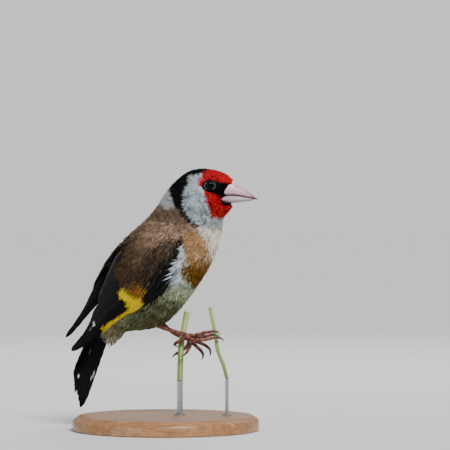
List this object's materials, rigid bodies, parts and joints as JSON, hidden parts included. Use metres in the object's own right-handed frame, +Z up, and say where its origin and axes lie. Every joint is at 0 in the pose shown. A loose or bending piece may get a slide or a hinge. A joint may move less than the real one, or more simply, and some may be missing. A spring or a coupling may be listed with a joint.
{
  "type": "european goldfinch",
  "caption": "Life-size European goldfinch, red face and yellow wing bar, perched on cut green stems over a round wooden display base",
  "frame": {"origin": "centre of the flat underside of the display base", "axes": "+X to the right in the picture and the way the bill points, +Y away from the camera, +Z up"},
  "size_m": [0.0796, 0.076, 0.1071],
  "materials": {
    "face_plumage": "matt head feathers: red mask, white cheek, black crown band",
    "body_plumage": "matt body feathers: grey-brown back, cinnamon breast patches, off-white belly",
    "wing_feather": "black flight feathers with a yellow bar and whitish tips",
    "tail_feather": "black tail feathers with small white tips",
    "bill_horn": "pinkish horn with a faint sheen, darker towards the tip",
    "eye_gloss": "wet black-brown eye",
    "leg_scale": "dark red-brown scutes",
    "claw_horn": "dark horn",
    "green_stem": "pale green ridged plant stem",
    "stand_wood": "plain oiled wood",
    "stand_steel": "plain thin rod"
  },
  "bodies": {
    "root": {"head": "face_plumage", "neck": "body_plumage", "torso": "body_plumage", "bill_upper": "bill_horn", "bill_lower": "bill_horn", "eye_left": "eye_gloss", "eye_right": "eye_gloss", "wing_left": "wing_feather", "wing_right": "wing_feather", "tail": "tail_feather", "tarsus_left": "leg_scale", "tarsus_right": "leg_scale", "foot_left": "leg_scale", "foot_right": "leg_scale", "claw_left_1": "claw_horn", "claw_left_2": "claw_horn", "claw_left_3": "claw_horn", "claw_left_4": "claw_horn", "claw_right_1": "claw_horn", "claw_right_2": "claw_horn", "claw_right_3": "claw_horn", "claw_right_4": "claw_horn", "perch_stem_main": "green_stem", "perch_stem_side": "green_stem", "stand_base": "stand_wood", "stand_rod_main": "stand_steel", "stand_rod_side": "stand_steel"}
  },
  "joints": []
}
